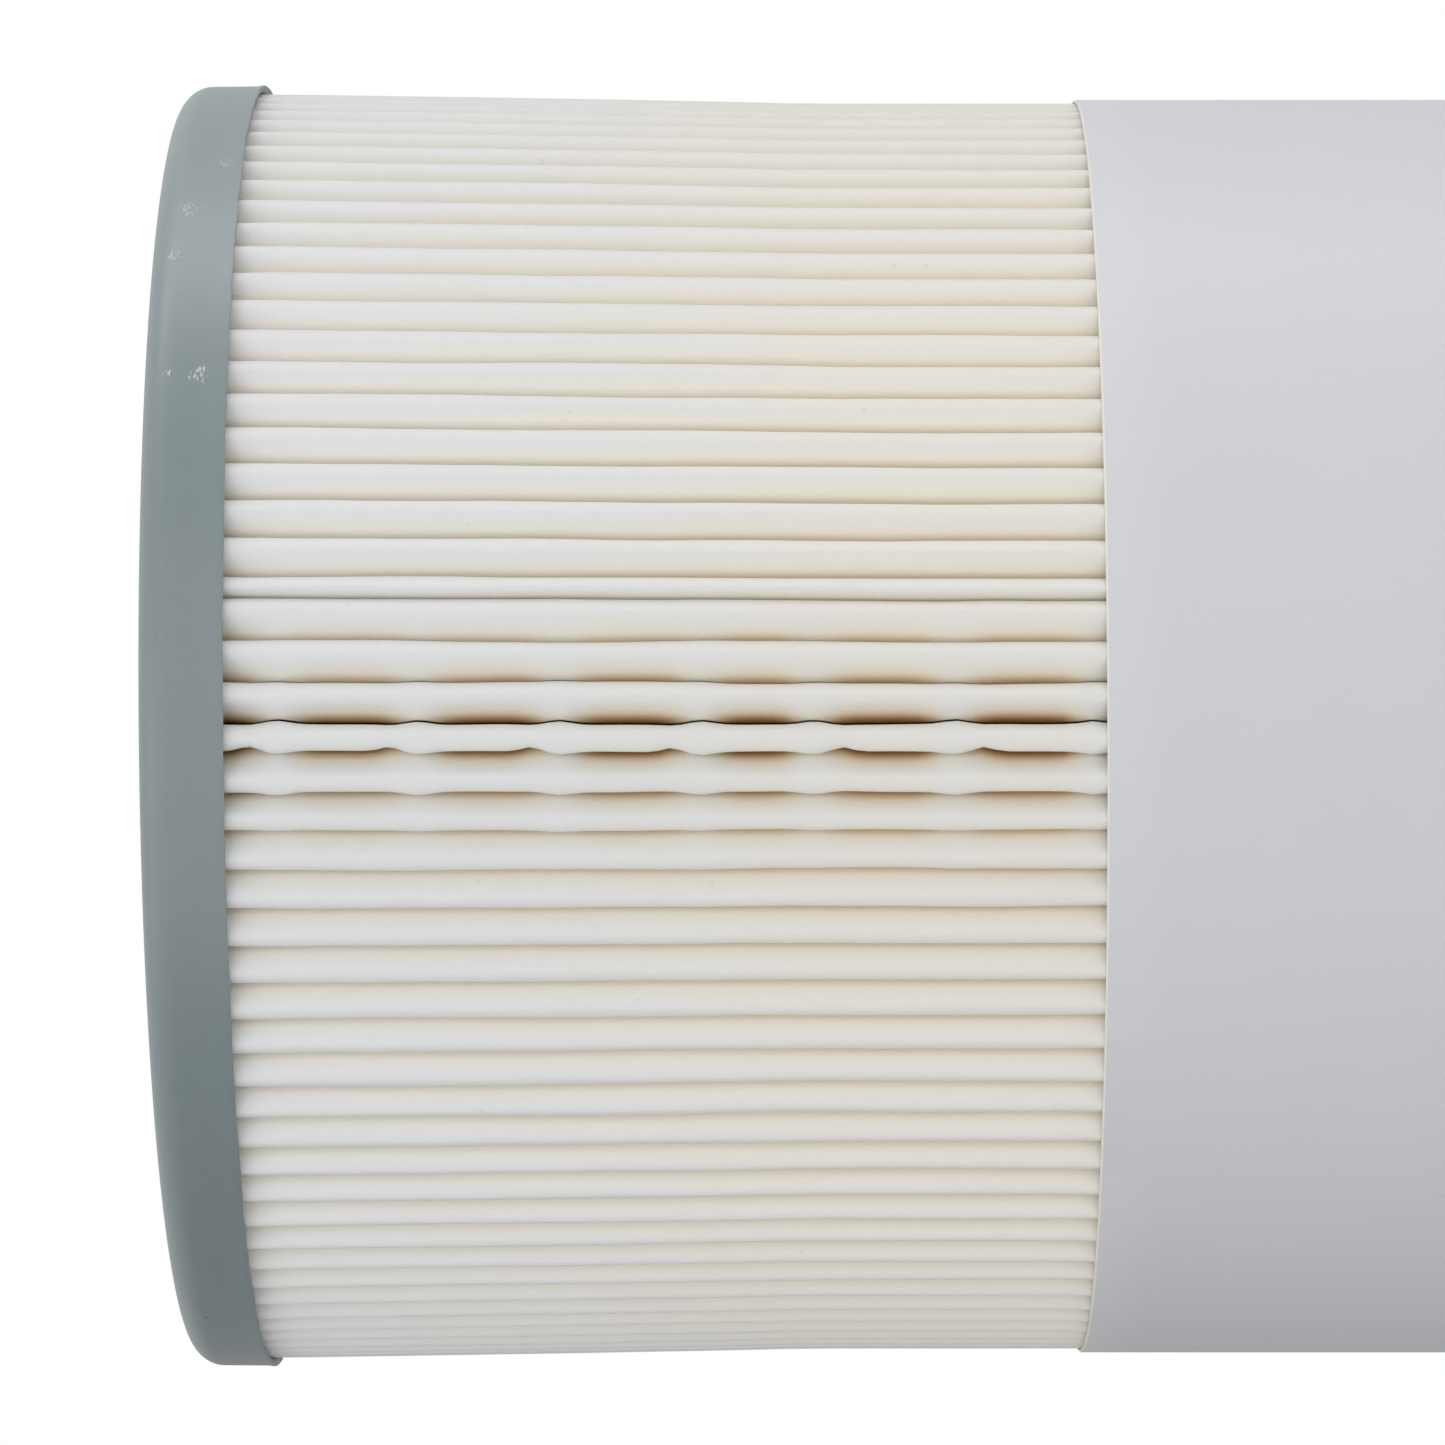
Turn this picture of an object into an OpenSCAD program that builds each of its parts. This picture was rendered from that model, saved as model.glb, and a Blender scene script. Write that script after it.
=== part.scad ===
// Pleated filter cartridge, standing on its lower end cap with its axis along +Z.
// The origin is the middle of the lower cap's outer face.

/* [Overall] */
// Length over the two end caps
overall_l = 498; // [240:1:900]
// Diameter of the end caps
cap_d = 178; // [140:1:260]
// Diameter of the port through each end cap
port_d = 76.2; // [40:0.1:92]

/* [End caps] */
// Thickness of the cast cap under the pleats
cap_t = 9.5; // [6:0.5:20]
// Height of the thin lip that stands round the pleats
lip_h = 1.5; // [1:0.1:5]
// Thickness of that lip
lip_t = 0.9; // [0.5:0.1:1.5]
// Radius of the cap's outer corner
cap_corner_r = 4; // [1:0.5:5]
// Radius of the corner at the mouth of the port
port_corner_r = 1; // [0.4:0.2:2]
// Wall of the cap between the port and the core tube
port_wall = 2; // [1.5:0.1:4]
// Width of the flat land round the port
port_land_w = 14; // [10:1:20]
// Width of the flat land inside the outer corner
rim_land_w = 6; // [3:1:10]
// Depth of the shallow recess between the two lands
face_recess = 0.8; // [0.4:0.1:2]
// Depth that the pleats are cast into the cap
media_seat = 3.5; // [2:0.5:5]
// Depth that the core tube is cast into the cap
core_seat = 5; // [3:0.5:5.5]

/* [Core tube] */
// Wall of a segment
core_wall = 3; // [2.4:0.1:5]
// Solid band at each end of a segment
core_band = 9; // [8:0.5:16]
// Windows round a segment
window_around = 12; // [6:1:16]
// Windows along a segment
window_along = 5; // [2:1:7]
// Width of a rib between two windows side by side
rib_w = 6; // [3:0.5:9]
// Height of a ring between two windows above one another
ring_h = 5; // [3:0.5:8]
// Length of the spigot that plugs into the next segment
spigot_l = 5; // [3:0.5:7]
// Clearance round the spigot
spigot_gap = 0.15; // [0.05:0.05:0.4]

/* [Pleated media] */
// Number of pleats
pleat_count = 108; // [60:1:120]
// Thickness of the media sheet
media_t = 0.5; // [0.3:0.05:0.6]
// Width of a pleat's tip
pleat_tip_w = 3.4; // [2.6:0.1:3.6]
// Bevel that rounds the corners of a tip
tip_bevel = 0.8; // [0.5:0.1:1]
// Width of the gap at the bottom of a valley
valley_w = 0.4; // [0.2:0.05:0.6]
// Gap between the core tube and the inner folds
core_gap = 0.5; // [0.2:0.1:2]
// How far the pleat tips stay inside the cap's outer side
pleat_inset = 2.55; // [2:0.05:6]
// Angle of the seam pleat round the axis
seam_a = 269; // [0:1:359]

/* [Seam adhesive] */
// Depth of the adhesive bead inside the seam pleat
bead_depth = 6; // [3:0.5:12]
// Width of the slit between the sheet's two ends
slit_w = 0.4; // [0.2:0.1:0.8]
// Spacing of the hot-melt dabs along the seam
dab_pitch = 18; // [12:1:40]
// Length of a dab
dab_l = 8; // [4:1:10]
// Width of a dab across the seam, towards the axis
dab_w = 2.5; // [1:0.1:4]
// Gap between the bead and the dabs
dab_gap = 0.8; // [0.3:0.1:2]

/* [Card sleeve] */
// Width of the sleeve along the axis
sleeve_w = 252.5; // [80:0.5:300]
// Thickness of the card
card_t = 0.45; // [0.3:0.05:0.7]
// Running clearance between the sleeve and the pleat tips
sleeve_gap = 0.3; // [0.2:0.05:0.6]
// Thickness of the adhesive in the lap
glue_t = 0.2; // [0.1:0.05:0.3]
// Length of the lap round the sleeve
lap_w = 22; // [12:1:40]
// Width of the adhesive strip in the lap
strip_w = 14; // [6:1:20]
// Slit between the card's beginning and the step up to the lap
step_gap = 0.3; // [0.2:0.1:1]
// Angle of the lap's outer edge round the axis
lap_a = 90; // [0:1:359]

/* [Hidden] */

ROUND = 120;
ARC_STEPS = 6;
CORE_SEGMENTS = 4;
TINY = 0.01;

cap_r = cap_d / 2;
port_r = port_d / 2;
cap_h = cap_t + lip_h;

core_ri = port_r + port_wall;
core_ro = core_ri + core_wall;
core_l = overall_l - 2 * (cap_h - core_seat);
segment_l = core_l / CORE_SEGMENTS;
spigot_ro = core_ri + core_wall / 2;
window_space = segment_l - 2 * core_band;
window_h = (window_space - (window_along - 1) * ring_h) / window_along;
window_w = 2 * core_ro * sin(180 / window_around) - rib_w;

media_ri = core_ro + core_gap;
media_ro = cap_r - pleat_inset;
media_z = cap_t - media_seat;
media_l = overall_l - 2 * media_z;
pitch_a = 360 / pleat_count;

sleeve_ri = media_ro + sleeve_gap;
sleeve_ro = sleeve_ri + card_t;
lap_ri = sleeve_ro + glue_t;
lap_ro = lap_ri + card_t;
sleeve_z = (overall_l - sleeve_w) / 2;

// Degrees that a length w covers on a circle of radius r
function span_a(w, r) = w / r * 180 / PI;
function polar(r, a) = [r * cos(a), r * sin(a)];
function arc(x, y, r, from, to) =
  [for (k = [0 : ARC_STEPS]) [x, y] + polar(r, from + (to - from) * k / ARC_STEPS)];
function reversed(points) = [for (k = [len(points) - 1 : -1 : 0]) points[k]];

// The four points of one pleat's tip: r is its outer radius and w its width there
function tip(a, r, w, bevel) = [
  polar(r - bevel, a - span_a(w / 2, r)),
  polar(r, a - span_a(w / 2 - bevel, r)),
  polar(r, a + span_a(w / 2 - bevel, r)),
  polar(r - bevel, a + span_a(w / 2, r))
];
// One whole pleat of one side of the sheet, from valley to valley
function pleat(a, r_in, r_out, w, valley, bevel) = concat(
  [polar(r_in, a - pitch_a / 2 + span_a(valley / 2, r_in))],
  tip(a, r_out, w, bevel),
  [polar(r_in, a + pitch_a / 2 - span_a(valley / 2, r_in))]
);
function outer_pleat(k) =
  pleat(seam_a + k * pitch_a, media_ri + media_t, media_ro, pleat_tip_w, valley_w, tip_bevel);
inner_tip_r = media_ro - media_t;
inner_tip_w = pleat_tip_w - 2 * media_t;
inner_bevel = tip_bevel - 0.4 * media_t;
inner_valley_w = valley_w + 2 * media_t;
function inner_pleat(k) =
  pleat(seam_a + k * pitch_a, media_ri, inner_tip_r, inner_tip_w, inner_valley_w, inner_bevel);

// The two sides of the sheet, from one end at the seam pleat's slit to the other
slit_a = span_a(slit_w / 2, media_ro);
function sheet_side(first, rest, r) = concat(
  [polar(r, seam_a + slit_a), first[3], first[4], first[5]],
  rest,
  [first[0], first[1], first[2], polar(r, seam_a - slit_a)]
);
outer_side = sheet_side(
  outer_pleat(0),
  [for (k = [1 : pleat_count - 1]) each outer_pleat(k)],
  media_ro
);
inner_side = sheet_side(
  inner_pleat(0),
  [for (k = [1 : pleat_count - 1]) each inner_pleat(k)],
  inner_tip_r
);

// The bead fills the seam pleat's tip between the two ends of the sheet
seam_tip = inner_pleat(0);
bead_share = bead_depth / (inner_tip_r - media_ri);
function along(from, to, share) = from + (to - from) * share;
bead_outline = concat(
  [polar(media_ro, seam_a - slit_a), polar(inner_tip_r, seam_a - slit_a)],
  [seam_tip[2], seam_tip[1]],
  [along(seam_tip[1], seam_tip[0], bead_share), along(seam_tip[4], seam_tip[5], bead_share)],
  [seam_tip[4], seam_tip[3]],
  [polar(inner_tip_r, seam_a + slit_a), polar(media_ro, seam_a + slit_a)]
);

// A dab bridges the same two walls further in
dab_share = bead_share + dab_gap / (inner_tip_r - media_ri);
dab_end_share = dab_share + dab_w / (inner_tip_r - media_ri);
dab_outline = [
  along(seam_tip[1], seam_tip[0], dab_share),
  along(seam_tip[1], seam_tip[0], dab_end_share),
  along(seam_tip[4], seam_tip[5], dab_end_share),
  along(seam_tip[4], seam_tip[5], dab_share)
];
dab_count = floor((overall_l - 2 * cap_h - dab_l) / dab_pitch);
dab_z = (overall_l - (dab_count - 1) * dab_pitch) / 2;

cap_outline = concat(
  arc(cap_r - cap_corner_r, cap_corner_r, cap_corner_r, -90, 0),
  [
    [cap_r, cap_h],
    [cap_r - lip_t, cap_h],
    [cap_r - lip_t, cap_t],
    [core_ro, cap_t],
    [core_ro, cap_h - core_seat],
    [core_ri, cap_h - core_seat],
    [core_ri, cap_h],
    [port_r, cap_h]
  ],
  arc(port_r + port_corner_r, port_corner_r, port_corner_r, 180, 270),
  [
    [port_r + port_land_w, 0],
    [port_r + port_land_w + face_recess, face_recess],
    [cap_r - cap_corner_r - rim_land_w - face_recess, face_recess],
    [cap_r - cap_corner_r - rim_land_w, 0]
  ]
);

module end_cap() {
  color([0.5, 0.545, 0.55])
    rotate_extrude($fn = ROUND) polygon(cap_outline);
}

module end_cap_bottom() {
  end_cap();
}

module end_cap_top() {
  translate([0, 0, overall_l / 2])
    mirror([0, 0, 1])
      translate([0, 0, -overall_l / 2])
        end_cap();
}

module ring(r_in, r_out, h) {
  difference() {
    cylinder(r = r_out, h = h, $fn = ROUND);
    translate([0, 0, -TINY]) cylinder(r = r_in, h = h + 2 * TINY, $fn = ROUND);
  }
}

module windows() {
  for (i = [0 : window_around - 1], k = [0 : window_along - 1])
    rotate([0, 0, 360 * i / window_around])
      translate([core_ri - core_wall, -window_w / 2, core_band + k * (window_h + ring_h)])
        cube([3 * core_wall, window_w, window_h]);
}

// A segment: all but the first have a socket at the foot, all but the last a spigot on top
module core_segment(index) {
  has_socket = index > 1;
  has_spigot = index < CORE_SEGMENTS;
  foot = cap_h - core_seat + (index - 1) * segment_l;
  color([0.88, 0.88, 0.86])
    translate([0, 0, foot])
      difference() {
        union() {
          ring(core_ri, core_ro, segment_l);
          if (has_spigot)
            ring(core_ri, spigot_ro, segment_l + spigot_l);
        }
        windows();
        if (has_socket)
          translate([0, 0, -TINY])
            cylinder(r = spigot_ro + spigot_gap, h = spigot_l + spigot_gap + TINY, $fn = ROUND);
      }
}

module pleated_media() {
  color([0.88, 0.87, 0.84])
    translate([0, 0, media_z])
      linear_extrude(media_l)
        polygon(concat(outer_side, reversed(inner_side)));
}

module seam_bead() {
  color([0.82, 0.78, 0.66])
    translate([0, 0, media_z])
      linear_extrude(media_l)
        polygon(bead_outline);
}

module seam_glue_dabs() {
  color([0.85, 0.8, 0.66])
    for (k = [0 : dab_count - 1])
      translate([0, 0, dab_z + k * dab_pitch - dab_l / 2])
        linear_extrude(dab_l)
          polygon(dab_outline);
}

module band(r_in, t, from, to) {
  translate([0, 0, sleeve_z])
    rotate_extrude(angle = to - from, start = from, $fn = ROUND)
      translate([r_in, 0]) square([t, sleeve_w]);
}

// The card runs once round, steps up and laps over its own beginning
module card_sleeve() {
  begin = lap_a - span_a(lap_w, lap_ri);
  step_end = begin - span_a(step_gap, sleeve_ro);
  step_begin = step_end - span_a(card_t, sleeve_ro);
  color([0.8, 0.8, 0.82])
    union() {
      band(sleeve_ri, card_t, begin, step_end + 360);
      band(sleeve_ri, lap_ro - sleeve_ri, step_begin, step_end);
      band(lap_ri, card_t, step_begin, lap_a);
    }
}

module sleeve_glue_strip() {
  color([0.85, 0.8, 0.66])
    band(sleeve_ro, glue_t, lap_a - span_a(strip_w, lap_ri), lap_a);
}

end_cap_bottom();
end_cap_top();
core_segment(1);  // core_segment_1
core_segment(2);  // core_segment_2
core_segment(3);  // core_segment_3
core_segment(4);  // core_segment_4
pleated_media();
seam_bead();
seam_glue_dabs();
card_sleeve();
sleeve_glue_strip();
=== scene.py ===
"""Pleated filter cartridge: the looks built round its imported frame.

The cartridge stands on its lower cap with its axis along +Z. Each sub-assembly is a class that holds
its sizes in metres, builds its meshes and dresses them.
"""

import logging
import math
from dataclasses import dataclass, field
from enum import Enum
from typing import Union

import bpy
import numpy as np
from mathutils import Matrix, Vector


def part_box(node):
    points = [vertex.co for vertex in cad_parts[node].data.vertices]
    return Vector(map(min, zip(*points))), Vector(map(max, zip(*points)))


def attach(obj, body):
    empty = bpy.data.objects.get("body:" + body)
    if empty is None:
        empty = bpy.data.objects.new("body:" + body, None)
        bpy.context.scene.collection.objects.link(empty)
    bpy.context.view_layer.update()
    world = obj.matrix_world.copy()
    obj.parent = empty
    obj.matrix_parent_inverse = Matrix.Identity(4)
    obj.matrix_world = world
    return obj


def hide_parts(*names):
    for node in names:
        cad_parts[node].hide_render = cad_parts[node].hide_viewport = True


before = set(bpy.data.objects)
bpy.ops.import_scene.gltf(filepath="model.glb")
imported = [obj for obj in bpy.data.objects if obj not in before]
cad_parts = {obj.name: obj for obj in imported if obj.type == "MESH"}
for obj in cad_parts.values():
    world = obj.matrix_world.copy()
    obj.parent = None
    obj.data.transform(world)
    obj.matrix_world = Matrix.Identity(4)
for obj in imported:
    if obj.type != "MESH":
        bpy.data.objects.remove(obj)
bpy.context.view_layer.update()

LOG = logging.getLogger("cartridge")
MM = 0.001
CAP_SKEW = 0.0087
TIP_UNDER_SLEEVE = 0.52 * MM
ROOT_OVER_CORE = 0.5 * MM
FLOAT = "NodeSocketFloat"
WHOLE = "NodeSocketInt"
VECTOR = "NodeSocketVector"
Socket = bpy.types.NodeSocket
Tree = bpy.types.NodeTree
Pair = tuple[float, float]
Triple = tuple[float, float, float]
Number = Union[float, "Term"]
Inputs = dict[str, tuple[str, Union[int, float, Triple]]]


class Body(Enum):
    """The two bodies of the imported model."""

    CARTRIDGE = "cartridge"
    SLEEVE = "sleeve"


class Slot(Enum):
    """The record's material slots."""

    CAP = "cap"
    CORE = "core"
    MEDIA = "media"
    GLUE = "glue"
    CARD = "card"


# ---------------------------------------------------------------- node arithmetic


def plug(tree: Tree, value: Union[float, int, Triple, Socket, "Term"], target: Socket) -> None:
    """Link a value into a socket, or set it there when it is a plain number.

    Args:
        tree: the node tree that holds the socket.
        value: a number, a vector, a socket or a term.
        target: the input socket that takes it.
    """
    if isinstance(value, Term):
        value = value.socket
    if isinstance(value, bpy.types.NodeSocket):
        tree.links.new(value, target)
    else:
        target.default_value = value


def calc(tree: Tree, operation: str, *values: Number) -> "Term":
    """Add one Math node.

    Args:
        tree: the tree to add it to.
        operation: the Math node's operation.
        values: its inputs, in order.

    Returns:
        The node's result.
    """
    node = tree.nodes.new("ShaderNodeMath")
    node.operation = operation
    for place, value in enumerate(values):
        plug(tree, value, node.inputs[place])
    return Term(tree, node.outputs[0])


class Term:
    """A number inside a node tree, with the arithmetic that links it to others."""

    def __init__(self, tree: Tree, socket: Socket) -> None:
        """Wrap an output socket of a tree."""
        self.tree = tree
        self.socket = socket

    def __add__(self, other: Number) -> "Term":
        """Sum."""
        return calc(self.tree, "ADD", self, other)

    def __radd__(self, other: Number) -> "Term":
        """Sum with a plain number first."""
        return calc(self.tree, "ADD", other, self)

    def __sub__(self, other: Number) -> "Term":
        """Difference."""
        return calc(self.tree, "SUBTRACT", self, other)

    def __rsub__(self, other: Number) -> "Term":
        """Difference from a plain number."""
        return calc(self.tree, "SUBTRACT", other, self)

    def __mul__(self, other: Number) -> "Term":
        """Product."""
        return calc(self.tree, "MULTIPLY", self, other)

    def __rmul__(self, other: Number) -> "Term":
        """Product with a plain number first."""
        return calc(self.tree, "MULTIPLY", other, self)

    def __truediv__(self, other: Number) -> "Term":
        """Quotient."""
        return calc(self.tree, "DIVIDE", self, other)

    def __pow__(self, other: Number) -> "Term":
        """Power of a value that isn't negative."""
        return calc(self.tree, "POWER", self, other)

    def apply(self, operation: str, *others: Number) -> "Term":
        """Any other Math operation on this value."""
        return calc(self.tree, operation, self, *others)

    def clamped(self) -> "Term":
        """This value kept between 0 and 1."""
        return self.apply("MAXIMUM", 0.0).apply("MINIMUM", 1.0)

    def above(self, low: float, gain: float) -> "Term":
        """How far this value is above a low one, times a gain, kept between 0 and 1."""
        return ((self - low) * gain).clamped()

    def toward(self, other: Number, share: Number) -> "Term":
        """The value at a share of the way from this one to another."""
        return self + (other - self) * share


def hump(distance: Term, width: float) -> Term:
    """A smooth hump of height 1 at distance 0 that fades over the width."""
    return calc(distance.tree, "EXPONENT", (distance * (1.0 / width)) ** 2.0 * -1.0)


def vector(tree: Tree, x: Number, y: Number, z: Number) -> Socket:
    """Three numbers joined into a vector socket."""
    node = tree.nodes.new("ShaderNodeCombineXYZ")
    for place, value in enumerate((x, y, z)):
        plug(tree, value, node.inputs[place])
    return node.outputs[0]


def parts_of(tree: Tree, value: Socket) -> tuple[Term, Term, Term]:
    """A vector socket taken apart into three terms."""
    node = tree.nodes.new("ShaderNodeSeparateXYZ")
    tree.links.new(value, node.inputs[0])
    return Term(tree, node.outputs[0]), Term(tree, node.outputs[1]), Term(tree, node.outputs[2])


def noise(tree: Tree, place: Socket, scale: float, detail: float = 2.0, roughness: float = 0.5) -> Term:
    """Add a Noise Texture.

    Args:
        tree: the tree to add it to.
        place: the point that it is read at.
        scale: its frequency.
        detail: its octaves.
        roughness: how strong each finer octave is.

    Returns:
        Its value, round 0.5.
    """
    node = tree.nodes.new("ShaderNodeTexNoise")
    node.inputs["Scale"].default_value = scale
    node.inputs["Detail"].default_value = detail
    node.inputs["Roughness"].default_value = roughness
    tree.links.new(place, node.inputs["Vector"])
    return Term(tree, node.outputs["Fac" if "Fac" in node.outputs else 0])


# ---------------------------------------------------------------- shader groups


def new_group(
    name: str, inputs: dict[str, str], outputs: dict[str, str]
) -> tuple[Tree, dict[str, Socket], dict[str, Socket]]:
    """Start a shader node group.

    Args:
        name: the group's name.
        inputs: socket name to socket kind.
        outputs: socket name to socket kind.

    Returns:
        The tree, its input sockets by name and the group output's sockets by name.
    """
    tree = bpy.data.node_groups.new(name, "ShaderNodeTree")
    for title, kind in inputs.items():
        tree.interface.new_socket(title, in_out="INPUT", socket_type=kind)
    for title, kind in outputs.items():
        tree.interface.new_socket(title, in_out="OUTPUT", socket_type=kind)
    start = tree.nodes.new("NodeGroupInput")
    end = tree.nodes.new("NodeGroupOutput")
    return tree, {s.name: s for s in start.outputs if s.name}, {s.name: s for s in end.inputs if s.name}


def grain_group() -> Tree:
    """Fine and coarse unevenness of a cast, spun or pressed surface.

    Returns:
        A group with Place, Fine, Coarse and Blend in, and Height out.
    """
    kinds = {"Place": VECTOR, "Fine": FLOAT, "Coarse": FLOAT, "Blend": FLOAT}
    tree, given, made = new_group("surface_grain", kinds, {"Height": FLOAT})
    heights = []
    for size in ("Fine", "Coarse"):
        node = tree.nodes.new("ShaderNodeTexNoise")
        node.inputs["Detail"].default_value = 3.0
        tree.links.new(given["Place"], node.inputs["Vector"])
        tree.links.new(given[size], node.inputs["Scale"])
        heights.append(Term(tree, node.outputs[0]))
    plug(tree, heights[0].toward(heights[1], Term(tree, given["Blend"])), made["Height"])
    return tree


def speck_group() -> Tree:
    """Sparse round specks: dust, pits and flecks.

    Returns:
        A group with Place, Scale, Size and Share in, and Mask out.
    """
    kinds = {"Place": VECTOR, "Scale": FLOAT, "Size": FLOAT, "Share": FLOAT}
    tree, given, made = new_group("specks", kinds, {"Mask": FLOAT})
    cells = tree.nodes.new("ShaderNodeTexVoronoi")
    tree.links.new(given["Place"], cells.inputs["Vector"])
    tree.links.new(given["Scale"], cells.inputs["Scale"])
    near = 1.0 - Term(tree, cells.outputs["Distance"]) / Term(tree, given["Size"])
    picked = tree.nodes.new("ShaderNodeSeparateColor")
    tree.links.new(cells.outputs["Color"], picked.inputs[0])
    chosen = Term(tree, picked.outputs[0]).apply("LESS_THAN", Term(tree, given["Share"]))
    plug(tree, (near * 2.5).clamped() * chosen, made["Mask"])
    return tree


def scuff_group() -> Tree:
    """A small patch of rubbed, broken marks.

    Returns:
        A group with Place, Centre and Reach in, and Mask out.
    """
    kinds = {"Place": VECTOR, "Centre": VECTOR, "Reach": FLOAT}
    tree, given, made = new_group("scuff", kinds, {"Mask": FLOAT})
    away = tree.nodes.new("ShaderNodeVectorMath")
    away.operation = "DISTANCE"
    tree.links.new(given["Place"], away.inputs[0])
    tree.links.new(given["Centre"], away.inputs[1])
    inside = (1.0 - Term(tree, away.outputs["Value"]) / Term(tree, given["Reach"])).clamped()
    streaks = tree.nodes.new("ShaderNodeMapping")
    streaks.inputs["Scale"].default_value = (0.7, 0.7, 1.9)
    tree.links.new(given["Place"], streaks.inputs["Vector"])
    broken = noise(tree, streaks.outputs[0], 1700.0, 4.0, 0.7)
    cut = (broken + inside * 0.26 - 0.70) * 16.0
    plug(tree, cut.clamped() * (inside * 6.0).clamped(), made["Mask"])
    return tree


@dataclass
class Effects:
    """The shader groups that the finishes share."""

    grain: Tree = field(default_factory=grain_group)
    specks: Tree = field(default_factory=speck_group)
    scuff: Tree = field(default_factory=scuff_group)


class Coat:
    """One material under construction."""

    def __init__(self, name: str, effects: Effects) -> None:
        """Start a material with a Principled shader and Object coordinates."""
        self.material = bpy.data.materials.new(name)
        self.material.use_nodes = True
        self.tree = self.material.node_tree
        self.shader = self.tree.nodes["Principled BSDF"]
        self.effects = effects
        self.place = self.tree.nodes.new("ShaderNodeTexCoord").outputs["Object"]

    def set(self, **constants: float) -> None:
        """Set plain numbers on the shader's own sockets; underscores stand for spaces."""
        for name, value in constants.items():
            self.shader.inputs[name.replace("_", " ").title().replace("Ior", "IOR")].default_value = value

    def group(self, tree: Tree, output: str, **values: Union[float, Triple, Term]) -> Term:
        """Place a shared group.

        Args:
            tree: the group.
            output: the output to read.
            values: its inputs by lower-case name; Place is the Object coordinates unless given.

        Returns:
            The output as a term.
        """
        node = self.tree.nodes.new("ShaderNodeGroup")
        node.node_tree = tree
        self.tree.links.new(self.place, node.inputs["Place"])
        for name, value in values.items():
            plug(self.tree, value, node.inputs[name.title()])
        return Term(self.tree, node.outputs[output])

    def grain(self, fine: float, coarse: float, blend: float) -> Term:
        """Unevenness at two frequencies, round 0.5."""
        return self.group(self.effects.grain, "Height", fine=fine, coarse=coarse, blend=blend)

    def specks(self, scale: float, size: float, share: float) -> Term:
        """Sparse specks, 1 in them and 0 between."""
        return self.group(self.effects.specks, "Mask", scale=scale, size=size, share=share)

    def mix(self, share: Number, first: Union[Triple, Socket], second: Union[Triple, Socket]) -> Socket:
        """Mix two colours by a share of 0 to 1."""
        node = self.tree.nodes.new("ShaderNodeMix")
        node.data_type = "RGBA"
        plug(self.tree, share, node.inputs["Factor"])
        for name, colour in (("A", first), ("B", second)):
            target = next(s for s in node.inputs if s.name == name and s.type == "RGBA")
            plug(self.tree, colour if isinstance(colour, bpy.types.NodeSocket) else (*colour, 1.0), target)
        return next(s for s in node.outputs if s.type == "RGBA")

    def ramp(self, value: Term, stops: list[tuple[float, Triple]]) -> Socket:
        """Colour a value by a ramp of (position, colour) stops."""
        node = self.tree.nodes.new("ShaderNodeValToRGB")
        node.color_ramp.interpolation = "B_SPLINE"
        while len(node.color_ramp.elements) < len(stops):
            node.color_ramp.elements.new(0.5)
        for element, (position, colour) in zip(node.color_ramp.elements, stops):
            element.position = position
            element.color = (*colour, 1.0)
        plug(self.tree, value, node.inputs[0])
        return node.outputs[0]

    def radius(self) -> Term:
        """Distance from the cartridge's axis."""
        x, y, _ = parts_of(self.tree, self.place)
        return (x * x + y * y).apply("SQRT")

    def bump(self, height: Term, depth: float) -> None:
        """Feed a height through a Bump node to the shader's normal, at a depth in metres."""
        node = self.tree.nodes.new("ShaderNodeBump")
        node.inputs["Strength"].default_value = 1.0
        node.inputs["Distance"].default_value = depth
        plug(self.tree, height, node.inputs["Height"])
        self.tree.links.new(node.outputs[0], self.shader.inputs["Normal"])

    def colour(self, value: Socket) -> None:
        """Link the base colour."""
        self.tree.links.new(value, self.shader.inputs["Base Color"])

    def roughness(self, value: Term) -> None:
        """Link the roughness."""
        plug(self.tree, value, self.shader.inputs["Roughness"])


# ---------------------------------------------------------------- finishes


@dataclass(frozen=True)
class SpunPolyester:
    """Warm white spunbonded sheet, with painted shade that darkens it to tan and brown down in its folds.
    """

    tip_radius: float
    tip: Triple = (0.798, 0.808, 0.80)
    # The colours after the lit tip colour are painted shade, for ever deeper points down in the folds.
    fold: Triple = (0.822, 0.803, 0.758)
    shaded_flank: Triple = (0.88, 0.835, 0.74)
    shaded_tan: Triple = (0.82, 0.66, 0.43)
    deep_shade: Triple = (0.62, 0.34, 0.11)
    speck: Triple = (0.62, 0.58, 0.50)
    # How far below the tip the painted shade reaches its darkest.
    shade_depth: float = 6 * MM
    bridged: str = "bridged"
    # How much the painted shade is lessened where glue bridges a valley.
    bridge_lessens_shade: float = 0.6

    def make(self, effects: Effects) -> bpy.types.Material:
        """Make the material."""
        coat = Coat("spun_polyester", effects)
        # Painted shade: how deep a point lies below the tip picks its colour on the ramp.
        depth = ((self.tip_radius - coat.radius()) * (1.0 / self.shade_depth)).clamped()
        held = coat.tree.nodes.new("ShaderNodeAttribute")
        held.attribute_name = self.bridged
        # Less painted shade where glue bridges the valley.
        depth = depth * (1.0 - Term(coat.tree, held.outputs["Fac"]) * self.bridge_lessens_shade)
        # Ramp from the lit tip colour through ever darker painted shade.
        stops = [(0.01, self.tip), (0.10, self.fold), (0.38, self.shaded_flank)]
        stops += [(0.70, self.shaded_tan), (1.0, self.deep_shade)]
        body = coat.ramp(depth, stops)
        cloud = coat.grain(260.0, 45.0, 0.5)
        body = coat.mix(cloud.above(0.5, 0.5), body, self.fold)
        flecks = coat.specks(200.0, 0.07, 0.12)
        coat.colour(coat.mix(flecks * 0.3, body, self.speck))
        coat.roughness(0.86 + (cloud - 0.5) * 0.2)
        coat.set(specular_ior_level=0.25, sheen_weight=0.1, sheen_roughness=0.6)
        fibres = coat.grain(4200.0, 900.0, 0.45)
        coat.bump(fibres - flecks * 0.2, 0.07 * MM)
        return coat.material


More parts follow.
